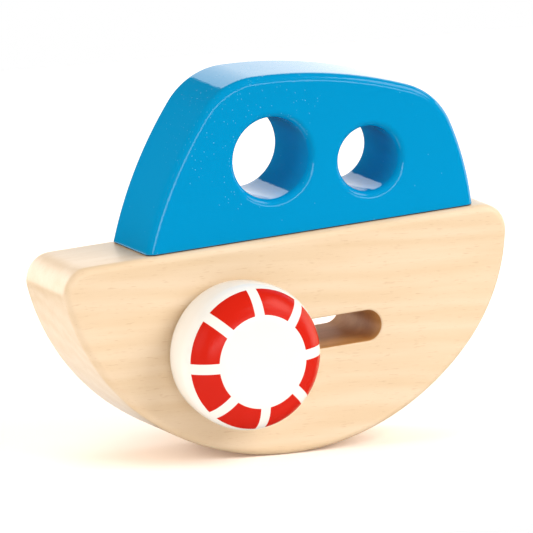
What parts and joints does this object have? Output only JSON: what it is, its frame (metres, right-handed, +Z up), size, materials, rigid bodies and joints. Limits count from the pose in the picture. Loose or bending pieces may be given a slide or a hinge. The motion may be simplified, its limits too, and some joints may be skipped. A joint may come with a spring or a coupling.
{
  "type": "rocking toy boat",
  "caption": "Wooden toy boat on a round rocker hull, with a painted cabin with through portholes and life-ring wheels whose axle slides in a slot.",
  "frame": {"origin": "the point where the level rocker touches the floor, below the middle of the hull and midway between the two wheels", "axes": "+X to the stern, +Y to starboard, +Z up, with the deck level; the port side with the wheel that is seen first faces -Y"},
  "size_m": [0.1157, 0.0614, 0.0921],
  "materials": {
    "hull_wood": "pale maple board, fine sanded, clear satin water lacquer",
    "cabin_blue_lacquer": "wooden board sprayed with bright blue gloss lacquer",
    "dowel_wood": "plain turned hardwood dowel",
    "wheel_white_lacquer": "turned wood sprayed with white gloss lacquer",
    "ring_red_print": "red pad-printed ring segments on the white lacquer"
  },
  "bodies": {
    "boat": {"hull": "hull_wood", "cabin": "cabin_blue_lacquer", "cabin_dowel_fore": "dowel_wood", "cabin_dowel_aft": "dowel_wood"},
    "axle_carriage": {"axle": "dowel_wood"},
    "wheel_pair": {"port_wheel": "wheel_white_lacquer", "starboard_wheel": "wheel_white_lacquer"}
  },
  "joints": [
    {"name": "axle_slide", "type": "slide", "parent": "boat", "child": "axle_carriage", "axis": [1, 0, 0], "range_m": [0, 0.0357]},
    {"name": "wheel_spin", "type": "hinge", "parent": "axle_carriage", "child": "wheel_pair", "pos_m": [-0.0167, 0, 0.02805], "axis": [0, 1, 0], "continuous": true}
  ]
}
